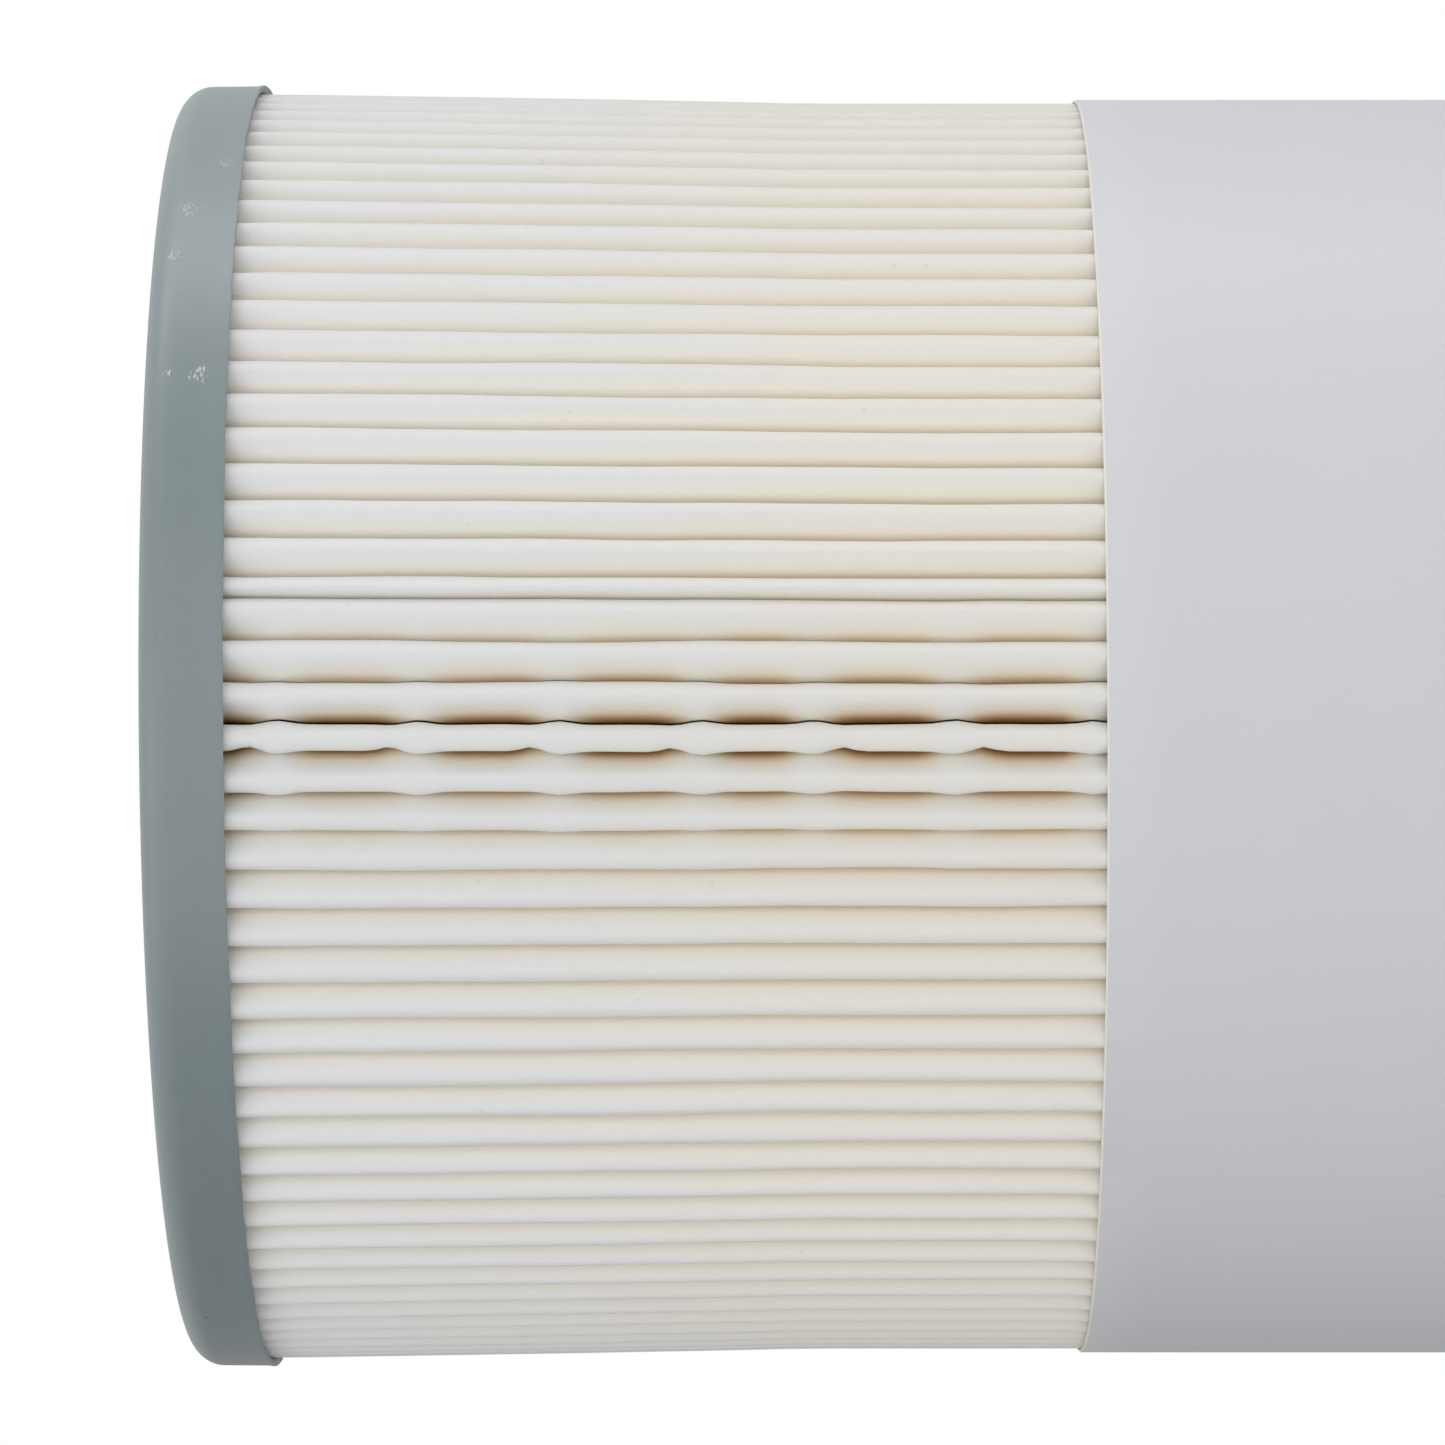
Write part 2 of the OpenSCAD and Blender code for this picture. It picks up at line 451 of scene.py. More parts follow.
@dataclass(frozen=True)
class Scuff:
    """A rubbed patch on the upper cap.

    Its angle is in degrees round the axis, down is its distance under the cap's face, and reach and
    strength are how far it spreads and how pale it is.
    """

    angle: float
    down: float
    reach: float
    strength: float


@dataclass(frozen=True)
class CastPolyurethane:
    """Blue-grey cast polyurethane with a soft satin skin."""

    radius: float
    top: float
    scuffs: tuple[Scuff, ...] = (
        Scuff(319.6, 3.8 * MM, 3.1 * MM, 0.5),
        Scuff(313.6, 2.5 * MM, 2.4 * MM, 0.45),
        Scuff(300.5, 6.9 * MM, 2.2 * MM, 1.0),
        Scuff(300.5, 2.9 * MM, 1.5 * MM, 0.8),
        Scuff(327.0, 8.0 * MM, 3.0 * MM, 0.3),
    )
    body: Triple = (0.182, 0.226, 0.237)
    pale: Triple = (0.196, 0.242, 0.254)
    mark: Triple = (0.68, 0.70, 0.70)
    pit: Triple = (0.10, 0.11, 0.11)

    def make(self, effects: Effects) -> bpy.types.Material:
        """Make the material."""
        coat = Coat("cast_polyurethane", effects)
        cloud = coat.grain(140.0, 24.0, 0.6)
        base = coat.mix(cloud.above(0.42, 2.2), self.body, self.pale)
        pits = coat.specks(150.0, 0.045, 0.2)
        base = coat.mix(pits * 0.8, base, self.pit)
        worn = pits * 0.0
        for scuff in self.scuffs:
            angle = math.radians(scuff.angle)
            centre = (self.radius * math.cos(angle), self.radius * math.sin(angle), self.top - scuff.down)
            rub = coat.group(effects.scuff, "Mask", centre=centre, reach=scuff.reach)
            worn = worn.apply("MAXIMUM", rub * scuff.strength)
        coat.colour(coat.mix(worn * 0.85, base, self.mark))
        coat.roughness(0.37 + (cloud - 0.5) * 0.14 + worn * 0.25)
        coat.set(specular_ior_level=0.62)
        skin = coat.grain(2600.0, 320.0, 0.35)
        coat.bump(skin - pits * 1.5, 0.035 * MM)
        return coat.material


@dataclass(frozen=True)
class Finish:
    """Two colours mixed by a soft cloud, with a gloss that follows it and a fine skin.

    Its cloud and skin are (fine, coarse, blend) grains, contrast is (low, gain) and gloss is (roughness,
    spread). A skin of None uses the cloud, and a depth of 0 leaves the surface flat.
    """

    name: str
    low: Triple
    high: Triple
    cloud: Triple
    contrast: Pair
    gloss: Pair
    skin: Union[Triple, None] = None
    depth: float = 0.0
    specular: float = 0.5
    coating: float = 0.0
    coating_roughness: float = 0.35

    def make(self, effects: Effects) -> bpy.types.Material:
        """Make the material."""
        coat = Coat(self.name, effects)
        cloud = coat.grain(*self.cloud)
        coat.colour(coat.mix(cloud.above(*self.contrast), self.low, self.high))
        roughness, spread = self.gloss
        coat.roughness(roughness + (cloud - 0.5) * spread)
        coat.set(specular_ior_level=self.specular)
        if self.coating > 0:
            coat.set(coat_weight=self.coating, coat_roughness=self.coating_roughness)
        if self.depth > 0:
            coat.bump(coat.grain(*self.skin) if self.skin else cloud, self.depth)
        return coat.material


@dataclass(frozen=True)
class CoatedCard(Finish):
    """Pale cool-grey card with a smooth satin coating."""

    name: str = "coated_card"
    low: Triple = (0.645, 0.648, 0.68)
    high: Triple = (0.665, 0.668, 0.70)
    cloud: Triple = (60.0, 14.0, 0.6)
    contrast: Pair = (0.35, 2.0)
    gloss: Pair = (0.5, 0.12)
    skin: Triple = (1500.0, 180.0, 0.3)
    depth: float = 0.012 * MM
    specular: float = 0.4
    coating: float = 0.12


@dataclass(frozen=True)
class CardCore(Finish):
    """The card's cut edge and bare inner side: cream-white fibre."""

    name: str = "card_core"
    low: Triple = (0.80, 0.76, 0.68)
    high: Triple = (0.88, 0.86, 0.80)
    cloud: Triple = (2400.0, 500.0, 0.4)
    contrast: Pair = (0.4, 2.0)
    gloss: Pair = (0.9, 0.1)
    depth: float = 0.05 * MM


@dataclass(frozen=True)
class MouldedPlastic(Finish):
    """White moulded core plastic with flow marks."""

    name: str = "moulded_plastic"
    low: Triple = (0.66, 0.66, 0.63)
    high: Triple = (0.74, 0.74, 0.715)
    cloud: Triple = (190.0, 40.0, 0.5)
    contrast: Pair = (0.4, 2.0)
    gloss: Pair = (0.38, 0.25)
    skin: Triple = (1200.0, 200.0, 0.5)
    depth: float = 0.02 * MM


@dataclass(frozen=True)
class HotMelt(Finish):
    """Milky amber adhesive, glossy and a little wavy."""

    name: str = "hot_melt"
    low: Triple = (0.66, 0.58, 0.38)
    high: Triple = (0.78, 0.73, 0.58)
    cloud: Triple = (420.0, 120.0, 0.5)
    contrast: Pair = (0.4, 2.5)
    gloss: Pair = (0.3, 0.2)
    depth: float = 0.15 * MM


@dataclass(frozen=True)
class StudioFloor(Finish):
    """Plain pale floor."""

    name: str = "studio_floor"
    low: Triple = (0.80, 0.80, 0.80)
    high: Triple = (0.816, 0.816, 0.816)
    cloud: Triple = (8.0, 1.5, 0.7)
    contrast: Pair = (0.4, 2.0)
    gloss: Pair = (0.7, 0.1)


# ---------------------------------------------------------------- mesh helpers


def mesh_piece(name: str, points: np.ndarray, faces: list, materials: list[bpy.types.Material],
               marks: Union[list[int], None] = None) -> bpy.types.Object:
    """Make an object from points and faces, smooth and at the origin.

    Args:
        name: the piece's name.
        points: its vertices, in metres.
        faces: its faces as lists of vertex numbers, turning outwards.
        materials: its materials.
        marks: each face's material number, if it has more than one material.

    Returns:
        The object, linked to the scene.
    """
    mesh = bpy.data.meshes.new(name)
    mesh.from_pydata([tuple(p) for p in points], [], faces)
    mesh.validate()
    mesh.polygons.foreach_set("use_smooth", [True] * len(mesh.polygons))
    for material in materials:
        mesh.materials.append(material)
    if marks is not None:
        mesh.polygons.foreach_set("material_index", marks)
    mesh.update()
    piece = bpy.data.objects.new(name, mesh)
    bpy.context.scene.collection.objects.link(piece)
    return piece


def soften(piece: bpy.types.Object, degrees: float) -> None:
    """Mark the edges sharper than an angle, so that the rest shade smooth."""
    mesh = piece.data
    normals = np.empty(len(mesh.polygons) * 3)
    mesh.polygons.foreach_get("normal", normals)
    normals = normals.reshape(-1, 3)
    sides: dict[tuple[int, int], list[int]] = {}
    for polygon in mesh.polygons:
        for key in polygon.edge_keys:
            sides.setdefault(key, []).append(polygon.index)
    limit = math.cos(math.radians(degrees))
    sharp = mesh.attributes.new("sharp_edge", "BOOLEAN", "EDGE")
    for edge in mesh.edges:
        touching = sides[edge.key]
        if len(touching) == 2 and float(normals[touching[0]] @ normals[touching[1]]) < limit:
            sharp.data[edge.index].value = True


def arc(centre: Pair, radius: float, start: float, end: float, steps: int) -> list:
    """Points along an arc, from one angle to another in degrees."""
    angles = [math.radians(start + (end - start) * k / steps) for k in range(steps + 1)]
    return [(centre[0] + radius * math.cos(a), centre[1] + radius * math.sin(a)) for a in angles]


def wander(angle: np.ndarray, seed: int, waves: tuple[int, ...]) -> np.ndarray:
    """A smooth closed curve of chance height round a circle, within about -1 to 1.

    Args:
        angle: angles in radians.
        seed: fixes the curve.
        waves: the numbers of waves round the circle that it is made of.

    Returns:
        The curve's height at each angle.
    """
    chance = np.random.default_rng(seed)
    total = np.zeros_like(angle)
    for count in waves:
        total = total + np.sin(count * angle + chance.uniform(0, 2 * math.pi)) * chance.uniform(0.5, 1.0)
    return total / (0.75 * len(waves))


def ring_faces(rings: int, around: int, closed: bool = False, turned: bool = False) -> list[list[int]]:
    """Quads between rings of points.

    Args:
        rings: how many rings there are.
        around: points in each ring.
        closed: whether the last ring joins the first.
        turned: whether the quads face the other way.

    Returns:
        The quads, as lists of vertex numbers.
    """
    faces = []
    for ring in range(rings if closed else rings - 1):
        low, high = ring * around, (ring + 1) % rings * around
        for k in range(around):
            following = (k + 1) % around
            a, b, c, d = low + k, low + following, high + following, high + k
            faces.append([a, d, c, b] if turned else [a, b, c, d])
    return faces


def node_tree(name: str, inputs: Inputs) -> tuple[Tree, dict[str, Term]]:
    """Start a Geometry Nodes tree.

    Args:
        name: the tree's name.
        inputs: each input's name with its socket kind and value.

    Returns:
        The tree and its inputs by name.
    """
    tree = bpy.data.node_groups.new(name, "GeometryNodeTree")
    tree.interface.new_socket("Geometry", in_out="OUTPUT", socket_type="NodeSocketGeometry")
    for title, (kind, value) in inputs.items():
        tree.interface.new_socket(title, in_out="INPUT", socket_type=kind).default_value = value
    start = tree.nodes.new("NodeGroupInput")
    return tree, {s.name: Term(tree, s) for s in start.outputs if s.name}


def close_tree(tree: Tree, shape: Socket, finish: bpy.types.Material) -> None:
    """End a Geometry Nodes tree: shade smooth, realize the instances and set the material."""
    smooth = tree.nodes.new("GeometryNodeSetShadeSmooth")
    real = tree.nodes.new("GeometryNodeRealizeInstances")
    paint = tree.nodes.new("GeometryNodeSetMaterial")
    paint.inputs["Material"].default_value = finish
    end = tree.nodes.new("NodeGroupOutput")
    tree.links.new(shape, smooth.inputs[0])
    for before, after in ((smooth, real), (real, paint), (paint, end)):
        tree.links.new(before.outputs[0], after.inputs[0])


def grow(name: str, tree: Tree, inputs: Inputs) -> bpy.types.Object:
    """Run a Geometry Nodes tree and keep what it makes as a plain mesh.

    Args:
        name: the piece's name.
        tree: the tree.
        inputs: its inputs' kinds and values by name.

    Returns:
        The piece, at the origin and with no modifier.
    """
    keys = {item.name: item.identifier for item in tree.interface.items_tree if item.in_out == "INPUT"}
    carrier = bpy.data.objects.new(name + "_carrier", bpy.data.meshes.new(name))
    bpy.context.scene.collection.objects.link(carrier)
    grower = carrier.modifiers.new("grow", "NODES")
    grower.node_group = tree
    for title, (_, value) in inputs.items():
        grower[keys[title]] = value
    graph = bpy.context.evaluated_depsgraph_get()
    mesh = bpy.data.meshes.new_from_object(carrier.evaluated_get(graph))
    mesh.name = name
    carrier.modifiers.clear()
    bpy.data.objects.remove(carrier)
    piece = bpy.data.objects.new(name, mesh)
    bpy.context.scene.collection.objects.link(piece)
    return piece


def tie(piece: bpy.types.Object, body: Body, node: str) -> None:
    """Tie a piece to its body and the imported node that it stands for."""
    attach(piece, body.value)
    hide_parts(node)


def report(piece: bpy.types.Object) -> None:
    """Log a piece's size."""
    LOG.info("%s: %d faces", piece.name, len(piece.data.polygons))


# ---------------------------------------------------------------- pleated media


@dataclass
class Sector:
    """A run of pleats that is built as one piece."""

    name: str
    first: int
    pleats: int
    tip_columns: int
    leg_columns: int
    rows: int

    @property
    def half_columns(self) -> int:
        """Columns from the middle of a tip to the bottom of a valley."""
        return self.tip_columns + self.leg_columns + 1


@dataclass(frozen=True)
class Wobble:
    """A chance offset that changes smoothly along a pleat and from one pleat to the next.

    Its size is in metres, along and across are how fast it changes, and shift sets it apart from others.
    """

    size: float
    along: float
    across: float
    shift: float

    def at(self, tree: Tree, z: Term, number: Term, seed: Term) -> Term:
        """The offset at a height on a numbered pleat or valley."""
        place = vector(tree, z * self.along, number * self.across, seed + self.shift)
        return (noise(tree, place, 1.0) - 0.5) * self.size


@dataclass
class SheetPoint:
    """A slab's point on the folded sheet, as terms of its tree.

    Its out is 0 at the middle of a tip and 1 in a valley, side is -1 or 1, and inner is 0 outside the sheet
    and 1 inside. The valley beside it has a rank, counted from the seam, and away says which way it lies.
    Its outward is 1 on the side of a pleat that faces away from the seam, and lean is how far pleats lean.
    """

    z: Term
    from_middle: Term
    inner: Term
    out: Term
    pleat: Term
    side: Term
    centre: Term
    half_pitch: Term
    around: Term
    rank: Term
    away: Term
    outward: Term
    lean: Term


@dataclass
class PleatPack:
    """The folded sheet: U-shaped pleats with a seam pleat, its glue swellings and one narrow gap."""

    finish: bpy.types.Material
    tip_radius: float
    root_radius: float
    foot: float
    length: float
    overall: float
    count: int = 108
    seam_angle: float = math.radians(269.0)
    narrow_at: int = 4
    narrow_pitch: float = math.radians(1.98)
    lip: float = 1.75 * MM
    slope_power: float = 1.75
    spread_most: float = 0.85 * MM
    spread_over: float = 3.0
    spread_fades: float = 25.0
    open_over: float = 1.5
    open_skew: float = 0.7
    parting: float = 0.02 * MM
    bite: float = 0.07 * MM
    lean_full: float = 10.0
    lean_ends: float = 27.0
    valley_depth: float = 3.3 * MM
    seam_depth: float = 6.4 * MM
    held_depth: float = 2.3 * MM
    edge_depth: float = 1.5 * MM
    end_depth: float = 1.8 * MM
    end_reach: float = 6.0 * MM
    sheet: float = 0.5 * MM
    drift: Wobble = Wobble(1.0 * MM, 30.0, 3.7, 0.0)
    sway: Wobble = Wobble(0.9 * MM, 34.0, 5.1, 9.0)
    lift: Wobble = Wobble(0.16 * MM, 14.0, 2.3, 21.0)
    flare: float = 1.25 * MM
    flare_power: float = 0.8
    flare_from: float = 165 * MM
    flare_to: float = 236 * MM
    dab_from_top: float = 17.6 * MM
    dab_pitch: float = 17.9 * MM
    dab_short: float = 3.6 * MM
    short_after: float = 3.4
    swell: float = 0.42 * MM
    swell_reach: float = 2.1 * MM
    swell_fade: float = 1.1
    notch: float = 0.55 * MM
    notch_reach: float = 1.6 * MM
    notch_away: float = 3.6 * MM
    notch_above: float = 0.15
    hold_reach: float = 2.7 * MM
    hold_most: float = 1.25
    hold_fade: float = 0.3
    root_gap: float = 0.6 * MM
    corner: float = 0.01
    row_power: float = 0.6
    seed: float = 3.0
    sectors: tuple[Sector, ...] = (
        Sector("pleats_seam", -3, 7, 9, 1, 250),
        Sector("pleats_a", 4, 26, 7, 1, 64),
        Sector("pleats_b", 30, 25, 7, 1, 64),
        Sector("pleats_c", 55, 25, 7, 1, 64),
        Sector("pleats_d", 80, 25, 7, 1, 64),
    )

    def inputs(self, sector: Sector) -> Inputs:
        """The tree's named inputs and their values for one sector."""
        half = sector.half_columns
        lengths = {
            "Pleats": sector.pleats,
            "First pleat": sector.first,
            "Tip share": sector.tip_columns / half,
            "Leg share": (half - 1) / half,
            "Tip radius": self.tip_radius,
            "Root radius": self.root_radius,
            "Lip": self.lip,
            "Valley depth": self.valley_depth,
            "Seam depth": self.seam_depth,
            "Held depth": self.held_depth,
            "Edge depth": self.edge_depth,
            "Sheet": self.sheet,
            "Flare": self.flare,
            "Foot": self.foot,
            "Length": self.length,
            "Swell": self.swell,
            "Notch": self.notch,
            "Seed": self.seed,
        }
        return {
            "Columns": (WHOLE, 2 * half * sector.pleats + 1),
            "Rows": (WHOLE, sector.rows + 1),
            **{title: (FLOAT, float(value)) for title, value in lengths.items()},
        }

    def tree(self, sector: Sector) -> Tree:
        """Build the Geometry Nodes tree that folds a flat slab into pleats.

        Args:
            sector: the run of pleats, for the inputs' default values.

        Returns:
            The tree.
        """
        tree, given = node_tree("fold_pleats", self.inputs(sector))
        slab = tree.nodes.new("GeometryNodeMeshCube")
        plug(tree, given["Columns"], slab.inputs["Vertices X"])
        plug(tree, given["Rows"], slab.inputs["Vertices Y"])
        slab.inputs["Vertices Z"].default_value = 2
        place, bridged = self.fold(tree, given)
        # Store how far glue bridges each valley; the sheet's material lessens its painted shade there.
        store = tree.nodes.new("GeometryNodeStoreNamedAttribute")
        store.inputs["Name"].default_value = SpunPolyester.bridged
        tree.links.new(slab.outputs["Mesh"], store.inputs["Geometry"])
        plug(tree, bridged, store.inputs["Value"])
        move = tree.nodes.new("GeometryNodeSetPosition")
        tree.links.new(store.outputs[0], move.inputs["Geometry"])
        tree.links.new(place, move.inputs["Position"])
        close_tree(tree, move.outputs[0], self.finish)
        return tree

    def dabs(self, tree: Tree, z: Term) -> tuple[Term, Term]:
        """Find the nearest glue dab at a height.

        Args:
            tree: the tree; not used.
            z: the height above the lower cap's face.

        Returns:
            The signed distance below that dab, and 1 for the dabs after the short step, else 0.
        """
        steps = (self.overall - self.dab_from_top - z) / self.dab_pitch
        late = steps.apply("GREATER_THAN", self.short_after)
        steps = steps + late * (self.dab_short / self.dab_pitch)
        return (steps - steps.apply("ROUND")) * self.dab_pitch, late

    def spread(self, pleat: Term) -> Term:
        """How far a pleat stands on from even spacing, as an angle: most beside the narrow gap."""
        ahead = (pleat * (1.0 / self.spread_over)).clamped()
        fade = ((self.count * 0.5 - pleat) * (1.0 / self.spread_fades)).clamped()
        return ahead * fade * (self.spread_most / self.tip_radius)

    def locate(self, tree: Tree, given: dict[str, Term]) -> SheetPoint:
        """Find a slab point's pleat, the side of it and the valley on that side.

        Args:
            tree: the tree.
            given: the tree's inputs.

        Returns:
            The point's place on the sheet.
        """
        flat = tree.nodes.new("GeometryNodeInputPosition").outputs[0]
        x, y, depth = parts_of(tree, flat)
        along = y * 2.0
        half_length = given["Length"] * 0.5
        middle = given["Foot"] + half_length
        z = middle + along.apply("SIGN") * along.apply("ABSOLUTE") ** self.row_power * half_length
        turn = (x + 0.5) * given["Pleats"] + given["First pleat"]
        pleat = turn.apply("FLOOR")
        across = (turn - pleat) * 2.0 - 1.0
        side = across.apply("SIGN")
        pitch = (2 * math.pi - self.narrow_pitch) / (self.count - 1)
        shift = pitch - self.narrow_pitch
        centre = self.seam_angle + pleat * pitch - pleat.apply("GREATER_THAN", self.narrow_at - 0.5) * shift
        valley = pleat + side * 0.5
        narrow = valley.apply("COMPARE", self.narrow_at - 0.5, 0.1)
        around = valley - (valley * (1.0 / self.count)).apply("ROUND") * float(self.count)
        rank = around.apply("ABSOLUTE")
        away = around.apply("SIGN")
        return SheetPoint(
            z=z,
            from_middle=(z - middle).apply("ABSOLUTE"),
            inner=0.5 - depth,
            out=across.apply("ABSOLUTE"),
            pleat=pleat,
            side=side,
            centre=centre + self.spread(pleat),
            half_pitch=(pitch - narrow * shift) * 0.5,
            around=around,
            rank=rank,
            away=away,
            outward=(side * away).apply("GREATER_THAN", 0.0),
            lean=((self.lean_ends - rank) / (self.lean_ends - self.lean_full)).clamped(),
        )

    def reach(self, tree: Tree, given: dict[str, Term], at: SheetPoint, below: Term, late: Term) -> Term:
        """The angle from a pleat's middle to the valley beside it.

        Args:
            tree: the tree.
            given: the tree's inputs.
            at: the point.
            below: its distance below the nearest dab.
            late: 1 for the dabs after the short step.

        Returns:
            The angle, with the pleat's lean, its sway, its swellings and its notches.
        """
        bulge = given["Swell"] * hump(below, self.swell_reach)
        pinch = given["Notch"] * hump(below - (late * 2.0 - 1.0) * self.notch_away, self.notch_reach)
        slack = (at.rank - 1.0 + at.away * 0.5).apply("MAXIMUM", 0.0)
        lower = at.away.apply("LESS_THAN", 0.0)
        under = at.rank.apply("LESS_THAN", 1.0) * (self.notch_above + (1.0 - self.notch_above) * lower)
        pushed = bulge * calc(tree, "EXPONENT", slack * -self.swell_fade) - pinch * under
        sway = self.sway.at(tree, at.z, at.around, given["Seed"])
        steep = at.half_pitch.toward(given["Lip"] / given["Tip radius"], at.lean)
        plain = (at.half_pitch * 2.0 - steep).toward(steep, at.outward)
        return plain + at.side * (sway + at.away * pushed) / given["Tip radius"]

    def valley(self, given: dict[str, Term], at: SheetPoint, hold: Term) -> Term:
        """The depth of a valley: most beside the seam and at the caps, less where glue holds it."""
        past_seam = (at.rank - 0.5) * (1.0 + at.away.apply("GREATER_THAN", 0.0) * self.open_skew)
        depth = given["Valley depth"].toward(given["Seam depth"], hump(past_seam, self.open_over))
        to_end = given["Length"] * 0.5 - at.from_middle
        return depth.toward(given["Held depth"], hold) + hump(to_end, self.end_reach) * self.end_depth

    def fold(self, tree: Tree, given: dict[str, Term]) -> tuple[Socket, Term]:
        """Write the rule that places a slab's point on the folded sheet.

        Args:
            tree: the tree.
            given: the tree's inputs.

        Returns:
            The point's place, and how far its valley is bridged by glue.
        """
        at = self.locate(tree, given)
        below, late = self.dabs(tree, at.z)
        hold = (self.hold_most - at.rank * self.hold_fade).clamped() * hump(below, self.hold_reach)
        reach = self.reach(tree, given, at, below, late)
        depth = self.valley(given, at, hold)
        drift = self.drift.at(tree, at.z, at.pleat, given["Seed"])
        lift = self.lift.at(tree, at.z, at.pleat, given["Seed"])
        ends = ((at.from_middle - self.flare_from) / (self.flare_to - self.flare_from)).clamped()
        crest = given["Tip radius"] + given["Flare"] * ends ** self.flare_power + lift

        swing = (at.out / given["Tip share"]).apply("MINIMUM", 1.0) * (math.pi / 2)
        sine = swing.apply("SINE")
        cosine = swing.apply("COSINE")
        inset = given["Sheet"] * at.inner
        leg = ((at.out - given["Tip share"]) / (given["Leg share"] - given["Tip share"])).clamped()
        sloping = depth * sine ** self.slope_power
        rounded = given["Edge depth"] * (1.0 - cosine)
        radius = crest - sloping.toward(rounded, at.outward * at.lean) - inset * cosine
        radius = radius.toward(given["Root radius"] + given["Sheet"] + self.root_gap, leg)
        parting = self.parting - (1.0 - at.outward * at.lean) * self.bite
        offset = reach * sine - (inset + parting) * sine / radius

        root = at.out.apply("GREATER_THAN", given["Leg share"] + self.corner)
        radius = radius.toward(given["Root radius"] + given["Sheet"] * (1.0 - at.inner), root)
        offset = offset.toward(reach, root)
        angle = at.centre + at.side * offset + drift * (1.0 - sine) / radius
        place = vector(tree, radius * angle.apply("COSINE"), radius * angle.apply("SINE"), at.z)
        return place, hold

    def build(self) -> list[bpy.types.Object]:
        """Fold every sector into a piece of its own."""
        tree = self.tree(self.sectors[0])
        return [grow(sector.name, tree, self.inputs(sector)) for sector in self.sectors]

    def dress(self, pieces: list[bpy.types.Object]) -> None:
        """Tie the pieces to the frame."""
        for piece in pieces:
            tie(piece, Body.CARTRIDGE, "pleated_media")


# ---------------------------------------------------------------- end caps


@dataclass
class EndCap:
    """A cast cap: rounded outer corner, thin flash lip, recessed face and open port."""

    node: str
    finish: bpy.types.Material
    at_top: bool
    radius: float
    height: float
    end_z: float
    port: float = 38.1 * MM
    floor: float = 9.5 * MM
    lip: float = 0.85 * MM
    corner: float = 4.0 * MM
    mouth: float = 1.0 * MM
    land: float = 14.0 * MM
    rim: float = 6.0 * MM
    recess: float = 0.8 * MM
    core_inner: float = 40.1 * MM
    core_outer: float = 43.1 * MM
    core_seat: float = 5.0 * MM
    skew: float = 0.0
    around: int = 432
    ragged: float = 0.16 * MM
    ease: float = 0.06 * MM
    ring_groove: float = 0.35 * MM
    ring_away: float = 4.0 * MM
    chamfer: float = 0.3 * MM
    flash: float = 0.13 * MM
    fillet: float = 0.8 * MM
    seed: int = 11

    def outline(self) -> tuple[list[Pair], list[float]]:
        """The cap's section as (radius, depth from its face), and how ragged each point is."""
        points: list[Pair] = []
        rough: list[float] = []

        def add(run: list[Pair], ragged: float = 0.0) -> None:
            """Append points of one raggedness."""
            points.extend(run)
            rough.extend([ragged] * len(run))

        r = self.radius
        land = self.port + self.land
        rim = r - self.corner - self.rim
        soft = self.recess
        add([(self.port, self.height - self.chamfer), (self.port, self.height * 0.5)])
        add(arc((self.port + self.mouth, self.mouth), self.mouth, 180, 270, 6))
        add([(land - 0.6 * MM, 0.0), (land - 0.15 * MM, self.ease)])
        add([(land + soft, soft - self.ease), (land + soft + 0.4 * MM, soft)])
        middle = (land + rim) / 2
        add(arc((middle - self.ring_away, soft), self.ring_groove, 180, 360, 6))
        add(arc((middle + self.ring_away, soft), self.ring_groove, 180, 360, 6))
        add([(rim - soft - 0.4 * MM, soft), (rim - soft, soft - self.ease)])
        add([(rim - 0.1 * MM, self.ease), (rim + 0.4 * MM, 0.0)])
        add(arc((r - self.corner, self.corner), self.corner, -90, 0, 12))
        add([(r + 0.02 * MM, self.height * 0.62)], 0.05)
        add([(r + 0.04 * MM, self.height - 0.9 * MM)], 0.3)
        add([(r + self.flash, self.height - 0.22 * MM), (r + 0.10 * MM, self.height)], 1.0)
        inner = r - self.lip
        add([(r - self.lip * 0.5, self.height - 0.02 * MM), (inner, self.height - self.chamfer)], 1.0)
        add([(inner - 0.1 * MM, self.floor + 0.35 * MM)], 0.5)
        add([(inner - 0.9 * MM, self.floor), (self.core_outer + self.fillet, self.floor)])
        add([(self.core_outer, self.floor + 0.6 * MM)])
        seat = self.height - self.core_seat
        add([(self.core_outer, seat), (self.core_inner, seat)])
        add([(self.core_inner, self.height - 0.1 * MM), (self.core_inner - self.chamfer, self.height)])
        add([(self.port + self.chamfer, self.height)])
        return points, rough

    def build(self) -> bpy.types.Object:
        """Turn the section round the axis.

        Returns:
            The cap.
        """
        points, rough = self.outline()
        angle = np.arange(self.around) * (2 * math.pi / self.around)
        edge = wander(angle, self.seed, (3, 7, 19, 41, 67, 97)) * self.ragged
        side = wander(angle, self.seed + 1, (2, 5, 13, 31)) * self.ragged * 0.5
        rings = []
        for (radius, depth), ragged in zip(points, rough):
            reach = radius + side * ragged
            x, y = reach * np.cos(angle), reach * np.sin(angle)
            up = depth + edge * ragged
            z = self.end_z - up if self.at_top else self.end_z + up
            rings.append(np.stack([x, y, z + x * self.skew], axis=1))
        faces = ring_faces(len(points), self.around, closed=True, turned=self.at_top)
        piece = mesh_piece(self.node + "_cast", np.concatenate(rings), faces, [self.finish])
        soften(piece, 50.0)
        return piece

    def dress(self, piece: bpy.types.Object) -> None:
        """Tie the cap to the frame."""
        tie(piece, Body.CARTRIDGE, self.node)


# ---------------------------------------------------------------- core tube


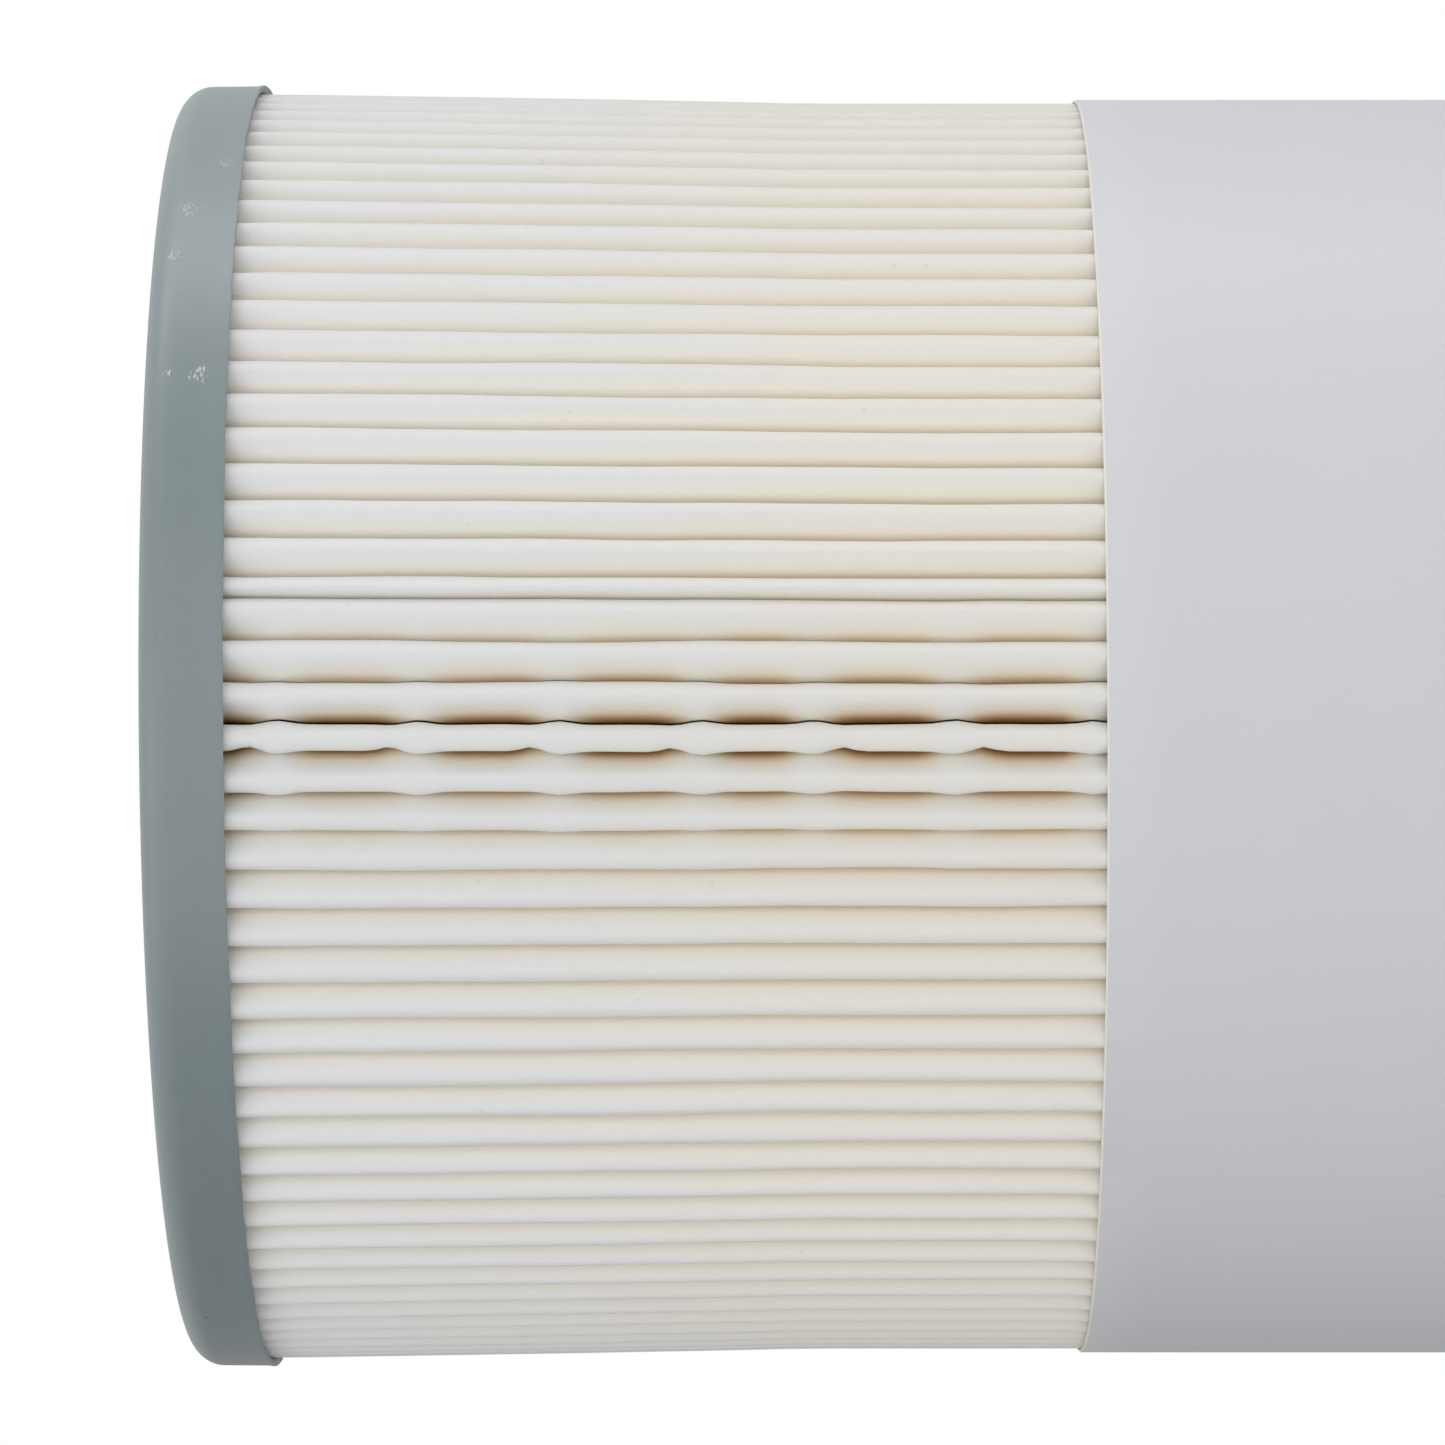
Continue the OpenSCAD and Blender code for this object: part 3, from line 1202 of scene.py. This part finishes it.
@dataclass
class CoreTube:
    """The plug-together lattice tube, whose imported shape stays."""

    finish: bpy.types.Material
    segments: int = 4

    def dress(self) -> None:
        """Give every segment its finish."""
        for number in range(1, self.segments + 1):
            refinish(f"core_segment_{number}", self.finish)


def refinish(node: str, material: bpy.types.Material) -> None:
    """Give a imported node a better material."""
    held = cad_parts[node].data.materials
    if len(held) == 0:
        held.append(material)
    for place in range(len(held)):
        held[place] = material


# ---------------------------------------------------------------- seam adhesive


@dataclass
class SeamGlue:
    """The adhesive inside the seam pleat: a bead at its tip and dabs under it."""

    finish: bpy.types.Material
    pack: PleatPack
    bead_radius: float = 0.55 * MM
    bead_inset: float = 1.5 * MM
    bead_rings: int = 240
    bead_around: int = 10
    bead_uneven: float = 0.12
    bead_end: float = 0.35
    dab_radius: float = 0.7 * MM
    dab_length: float = 6.0 * MM
    dab_inset: float = 5.0 * MM
    bead_seed: int = 23
    dab_seed: int = 5

    def line(self, inset: float) -> Pair:
        """A point on the seam plane at an inset below the pleat's tip."""
        radius = self.pack.tip_radius - inset
        return radius * math.cos(self.pack.seam_angle), radius * math.sin(self.pack.seam_angle)

    def build_dabs(self) -> bpy.types.Object:
        """Set the dabs along a line of points."""
        x, y = self.line(self.dab_inset)
        pack = self.pack
        inputs = {
            "Dabs": (WHOLE, int((pack.length - 2 * pack.dab_from_top) / pack.dab_pitch)),
            "Pitch": (FLOAT, pack.dab_pitch),
            "Radius": (FLOAT, self.dab_radius),
            "Top": (VECTOR, (x, y, pack.overall - pack.dab_from_top)),
            "Seed": (WHOLE, self.dab_seed),
        }
        tree, given = node_tree("set_dabs", inputs)
        row = tree.nodes.new("GeometryNodeMeshLine")
        plug(tree, given["Dabs"], row.inputs["Count"])
        plug(tree, given["Top"], row.inputs["Start Location"])
        plug(tree, vector(tree, 0.0, 0.0, given["Pitch"] * -1.0), row.inputs["Offset"])
        dab = tree.nodes.new("GeometryNodeMeshUVSphere")
        dab.inputs["Segments"].default_value = 12
        dab.inputs["Rings"].default_value = 8
        plug(tree, given["Radius"], dab.inputs["Radius"])
        spread = tree.nodes.new("FunctionNodeRandomValue")
        spread.data_type = "FLOAT_VECTOR"
        stretch = self.dab_length / (2 * self.dab_radius)
        spread.inputs["Min"].default_value = (0.8, 0.9, stretch * 0.8)
        spread.inputs["Max"].default_value = (1.0, 1.1, stretch * 1.1)
        plug(tree, given["Seed"], spread.inputs["Seed"])
        put = tree.nodes.new("GeometryNodeInstanceOnPoints")
        tree.links.new(row.outputs["Mesh"], put.inputs["Points"])
        tree.links.new(dab.outputs["Mesh"], put.inputs["Instance"])
        tree.links.new(spread.outputs[0], put.inputs["Scale"])
        close_tree(tree, put.outputs[0], self.finish)
        return grow("seam_dabs_melt", tree, inputs)

    def build_bead(self) -> bpy.types.Object:
        """Draw the bead as an uneven closed rod along the seam."""
        rings, around = self.bead_rings, self.bead_around
        x, y = self.line(self.bead_inset)
        uneven = wander(np.linspace(0, 2 * math.pi, rings), self.bead_seed, (9, 17, 31))
        swell = 1.0 + self.bead_uneven * uneven
        swell[0] = swell[-1] = self.bead_end
        reach = (self.bead_radius * swell)[:, None]
        turn = np.arange(around) * (2 * math.pi / around)
        z = np.linspace(self.pack.foot, self.pack.foot + self.pack.length, rings)[:, None]
        across = np.ones(around)
        points = np.stack([x + reach * np.cos(turn), y + reach * np.sin(turn), z * across], axis=2)
        faces = ring_faces(rings, around)
        faces.append(list(range(around))[::-1])
        faces.append([(rings - 1) * around + k for k in range(around)])
        return mesh_piece("seam_bead_melt", points.reshape(-1, 3), faces, [self.finish])

    def build(self) -> list[bpy.types.Object]:
        """Make both pieces of adhesive and tie them to the frame."""
        made = {"seam_bead": self.build_bead(), "seam_glue_dabs": self.build_dabs()}
        for node, piece in made.items():
            tie(piece, Body.CARTRIDGE, node)
        return list(made.values())


# ---------------------------------------------------------------- card sleeve


@dataclass
class CardSleeve:
    """A card band wrapped once round the pleats, lapped over its own beginning."""

    face: bpy.types.Material
    core: bpy.types.Material
    outer_radius: float
    foot: float
    width: float
    card: float = 0.4 * MM
    cut: float = 0.25 * MM
    edge_worn: float = 0.2 * MM
    glue: float = 0.2 * MM
    lap: float = 22 * MM
    lap_angle: float = math.radians(90.0)
    step_length: float = 1.2 * MM
    step_gap: float = 0.3 * MM
    lap_clear: float = 0.05 * MM
    unevenness: float = 0.05 * MM
    ripple: float = 0.02 * MM
    skew: float = 0.0047
    columns: int = 720
    rows: int = 36
    seed: int = 41

    def build(self) -> bpy.types.Object:
        """Wrap the card.

        Returns:
            The sleeve.
        """
        lap_turn = self.lap / self.outer_radius
        begin = self.lap_angle - lap_turn
        turn = np.linspace(begin, begin + 2 * math.pi + lap_turn, self.columns + 1)
        step_end = begin + 2 * math.pi - self.step_gap / self.outer_radius
        step = np.clip((turn - step_end) / (self.step_length / self.outer_radius) + 1.0, 0.0, 1.0)
        rise = (self.card + self.glue + self.lap_clear) * (step * step * (3 - 2 * step))
        wave = wander(turn, self.seed, (2, 3, 5, 9)) * self.unevenness
        rim = self.cut / self.width
        level = np.concatenate([[0.0], np.linspace(rim, 1.0 - rim, self.rows - 1), [1.0]])
        points = []
        for outward in (True, False):
            for share in level:
                edge_wave = wave * (0.6 if share in (0.0, 1.0) else 1.0)
                worn = self.edge_worn if outward and share in (0.0, 1.0) else 0.0
                radius = self.outer_radius - worn - (0.0 if outward else self.card) + rise
                radius = radius + self.ripple * np.sin(turn * 7 + share * 5.0)
                x, y = radius * np.cos(turn), radius * np.sin(turn)
                z = self.foot + self.width * share + edge_wave * (2 * share - 1) + x * self.skew
                points.append(np.stack([x, y, z], axis=1))
        across = self.columns + 1
        skin = across * (self.rows + 1)
        faces, marks = [], []
        for row in range(self.rows):
            for k in range(self.columns):
                a = row * across + k
                faces.append([a, a + 1, a + 1 + across, a + across])
                marks.append(1 if row in (0, self.rows - 1) else 0)
                b = a + skin
                faces.append([b, b + across, b + 1 + across, b + 1])
                marks.append(1)
        for k in range(self.columns):
            top = self.rows * across + k
            faces.append([k + 1, k, k + skin, k + 1 + skin])
            faces.append([top, top + 1, top + 1 + skin, top + skin])
            marks.extend([1, 1])
        for row in range(self.rows):
            a, b = row * across, row * across + self.columns
            faces.append([a, a + across, a + across + skin, a + skin])
            faces.append([b + across, b, b + skin, b + across + skin])
            marks.extend([1, 1])
        piece = mesh_piece("card_sleeve_wrap", np.concatenate(points), faces, [self.face, self.core], marks)
        soften(piece, 40.0)
        return piece

    def dress(self, piece: bpy.types.Object) -> None:
        """Tie the sleeve to the frame."""
        tie(piece, Body.SLEEVE, "card_sleeve")


# ---------------------------------------------------------------- studio


@dataclass(frozen=True)
class Lamp:
    """A soft rectangular light.

    Its place and its aim's height are from the middle of the upper cap's face, and its power is in watts.
    """

    name: str
    place: Triple
    aim: float
    size: Pair
    power: float


@dataclass
class Studio:
    """Pale floor, white surround, soft lights and the camera."""

    top: float
    lens: float = 161.9
    sensor: float = 36.0
    distance: float = 909 * MM
    below_top: float = 78.15 * MM
    aside: float = 0.49 * MM
    shift: float = -0.0225
    floor_radius: float = 1.5
    surround: float = 0.37
    surround_slope: float = 0.02
    sheen: float = 0.2
    sheen_slope: float = 0.3
    sheen_above: float = 0.8
    sheen_right: float = 0.9
    lamps: tuple[Lamp, ...] = (
        Lamp("key", (1.15, -0.05, 0.15), -0.12, (0.4, 1.6), 5.0),
        Lamp("fill", (-0.1, -1.8, 0.1), -0.12, (2.6, 2.6), 23.0),
        Lamp("overhead", (-0.25, -0.6, 1.402), 0.0, (1.2, 1.2), 4.2),
    )

    def floor(self, finish: bpy.types.Material) -> None:
        """Lay a round floor."""
        around = 96
        within = 0.3
        angle = np.arange(around) * (2 * math.pi / around)
        rings = [np.stack([r * np.cos(angle), r * np.sin(angle), np.zeros(around)], axis=1)
                 for r in (within, self.floor_radius)]
        faces = [list(range(around))] + ring_faces(2, around, turned=True)
        floor = mesh_piece("studio_floor", np.concatenate(rings), faces, [finish])

    def hang(self, lamp: Lamp) -> None:
        """Hang one soft light."""
        data = bpy.data.lights.new(lamp.name, "AREA")
        data.shape = "RECTANGLE"
        data.size, data.size_y = lamp.size
        data.energy = lamp.power
        light = bpy.data.objects.new(lamp.name, data)
        face = Vector((0.0, 0.0, self.top))
        light.location = face + Vector(lamp.place)
        light.rotation_mode = "QUATERNION"
        aim = face + Vector((0.0, 0.0, lamp.aim))
        light.rotation_quaternion = (aim - light.location).to_track_quat("-Z", "Y")
        bpy.context.scene.collection.objects.link(light)

    def light(self) -> None:
        """Hang the lights and set the surround."""
        for lamp in self.lamps:
            self.hang(lamp)
        world = bpy.data.worlds.new("surround")
        world.use_nodes = True
        tree = world.node_tree
        paper = tree.nodes["Background"]
        paper.inputs["Color"].default_value = (1.0, 1.0, 1.0, 1.0)
        ray = tree.nodes.new("ShaderNodeLightPath")
        right, _, up = parts_of(tree, tree.nodes.new("ShaderNodeTexCoord").outputs["Generated"])
        lit = self.surround + right * self.surround_slope
        sheen = self.sheen + right * self.sheen_slope + up.clamped() * self.sheen_above
        sheen = sheen + right.clamped() ** 4.0 * self.sheen_right
        lit = lit + Term(tree, ray.outputs["Is Glossy Ray"]) * sheen
        plug(tree, lit.toward(1.0, Term(tree, ray.outputs["Is Camera Ray"])), paper.inputs["Strength"])
        bpy.context.scene.world = world
        bpy.context.scene.view_settings.view_transform = "Standard"

    def camera(self) -> None:
        """Set the camera square to the axis, turned so that the upper cap is on the left."""
        data = bpy.data.cameras.new("camera")
        data.lens = self.lens
        data.sensor_width = self.sensor
        data.shift_x = self.shift
        data.clip_start, data.clip_end = 0.05, 50.0
        camera = bpy.data.objects.new("camera", data)
        axes = Matrix(((0.0, 1.0, 0.0), (0.0, 0.0, -1.0), (-1.0, 0.0, 0.0)))
        place = Matrix.Translation((self.aside, -self.distance, self.top - self.below_top))
        camera.matrix_world = place @ axes.to_4x4()
        bpy.context.scene.collection.objects.link(camera)
        bpy.context.scene.camera = camera


# ---------------------------------------------------------------- the whole


def span(node: str) -> tuple[Vector, Vector]:
    """A node's lowest and highest corners."""
    low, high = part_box(node)
    return Vector(low), Vector(high)


def main() -> None:
    """Build and dress the cartridge, sub-assembly by sub-assembly."""
    logging.basicConfig(level=logging.INFO)
    effects = Effects()
    cap_low, cap_high = span("end_cap_top")
    media_low, media_high = span("pleated_media")
    core_low, core_high = span("core_segment_1")
    sleeve_low, sleeve_high = span("card_sleeve")
    top = cap_high.z
    cap_radius = (cap_high.x - cap_low.x) / 2
    sleeve_radius = (sleeve_high.x - sleeve_low.x) / 2

    grey = CastPolyurethane(cap_radius, top).make(effects)
    for name, at_top in (("end_cap_top", True), ("end_cap_bottom", False)):
        low, high = span(name)
        cap = EndCap(name, grey, at_top, cap_radius, high.z - low.z, high.z if at_top else low.z,
                     skew=CAP_SKEW if at_top else 0.0, seed=11 if at_top else 31)
        piece = cap.build()
        cap.dress(piece)
        report(piece)

    pack = PleatPack(
        SpunPolyester(sleeve_radius).make(effects),
        tip_radius=sleeve_radius - TIP_UNDER_SLEEVE,
        root_radius=(core_high.x - core_low.x) / 2 + ROOT_OVER_CORE,
        foot=media_low.z,
        length=media_high.z - media_low.z,
        overall=top,
    )
    pleats = pack.build()
    pack.dress(pleats)

    melt = HotMelt().make(effects)
    for piece in pleats + SeamGlue(melt, pack).build():
        report(piece)
    CoreTube(MouldedPlastic().make(effects)).dress()

    card, cut = CoatedCard().make(effects), CardCore().make(effects)
    sleeve = CardSleeve(card, cut, sleeve_radius, sleeve_low.z, sleeve_high.z - sleeve_low.z)
    wrap = sleeve.build()
    sleeve.dress(wrap)
    refinish("sleeve_glue_strip", melt)
    report(wrap)

    studio = Studio(top)
    studio.floor(StudioFloor().make(effects))
    studio.light()
    studio.camera()


if __name__ == "__main__":
    main()
